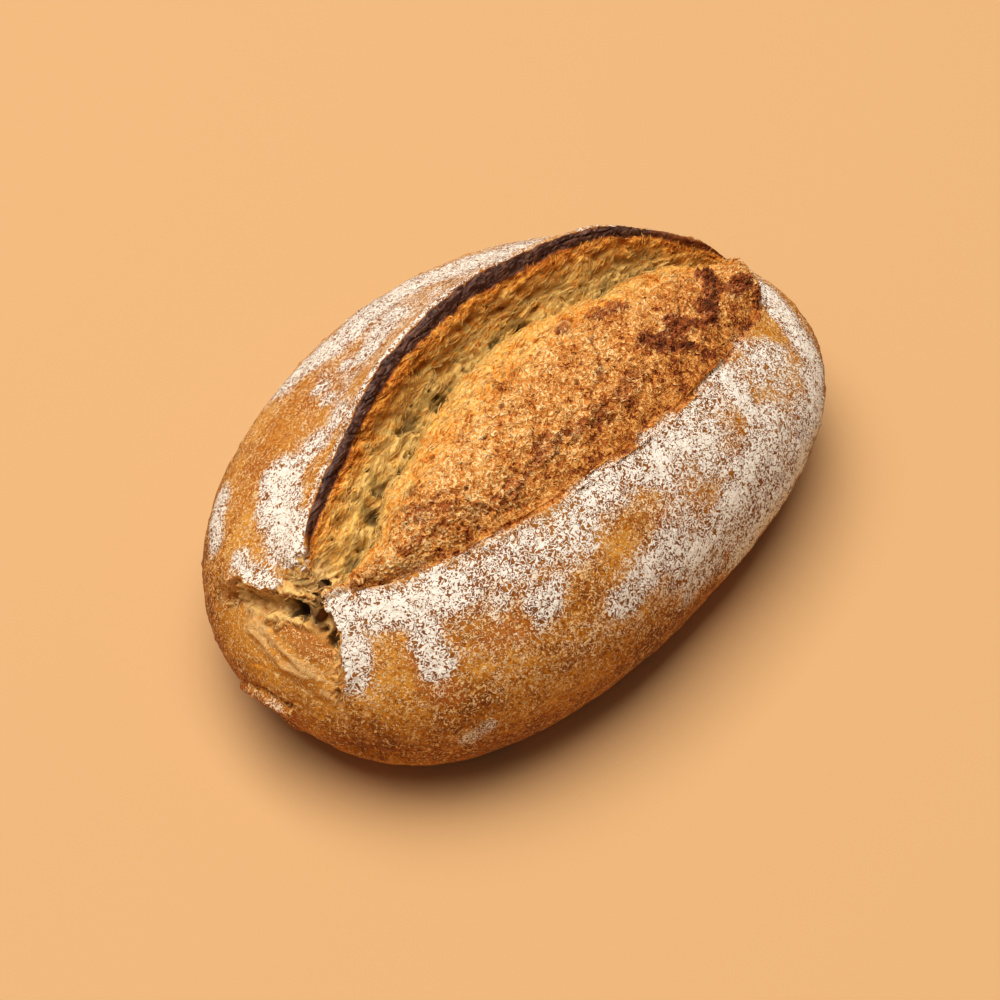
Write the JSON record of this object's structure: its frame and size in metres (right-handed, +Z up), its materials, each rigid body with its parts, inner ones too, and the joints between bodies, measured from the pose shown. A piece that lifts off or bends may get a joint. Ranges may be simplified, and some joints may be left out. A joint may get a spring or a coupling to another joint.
{
  "type": "sourdough loaf",
  "caption": "Oval hearth loaf with one long slash torn open in the oven: a raised ear, a wall and a broad ridge of torn crumb, and a cross tear at one end.",
  "frame": {"origin": "on the resting plane, under the middle of the loaf's bounding box", "axes": "+Z up; +X along the loaf, from the end with the cross tear to the far end; +Y towards the raised ear"},
  "size_m": [0.261, 0.1732, 0.0976],
  "materials": {
    "crust": "matte",
    "crumb": "matte",
    "flour": "matte"
  },
  "bodies": {
    "root": {"loaf": "crust"}
  },
  "joints": []
}
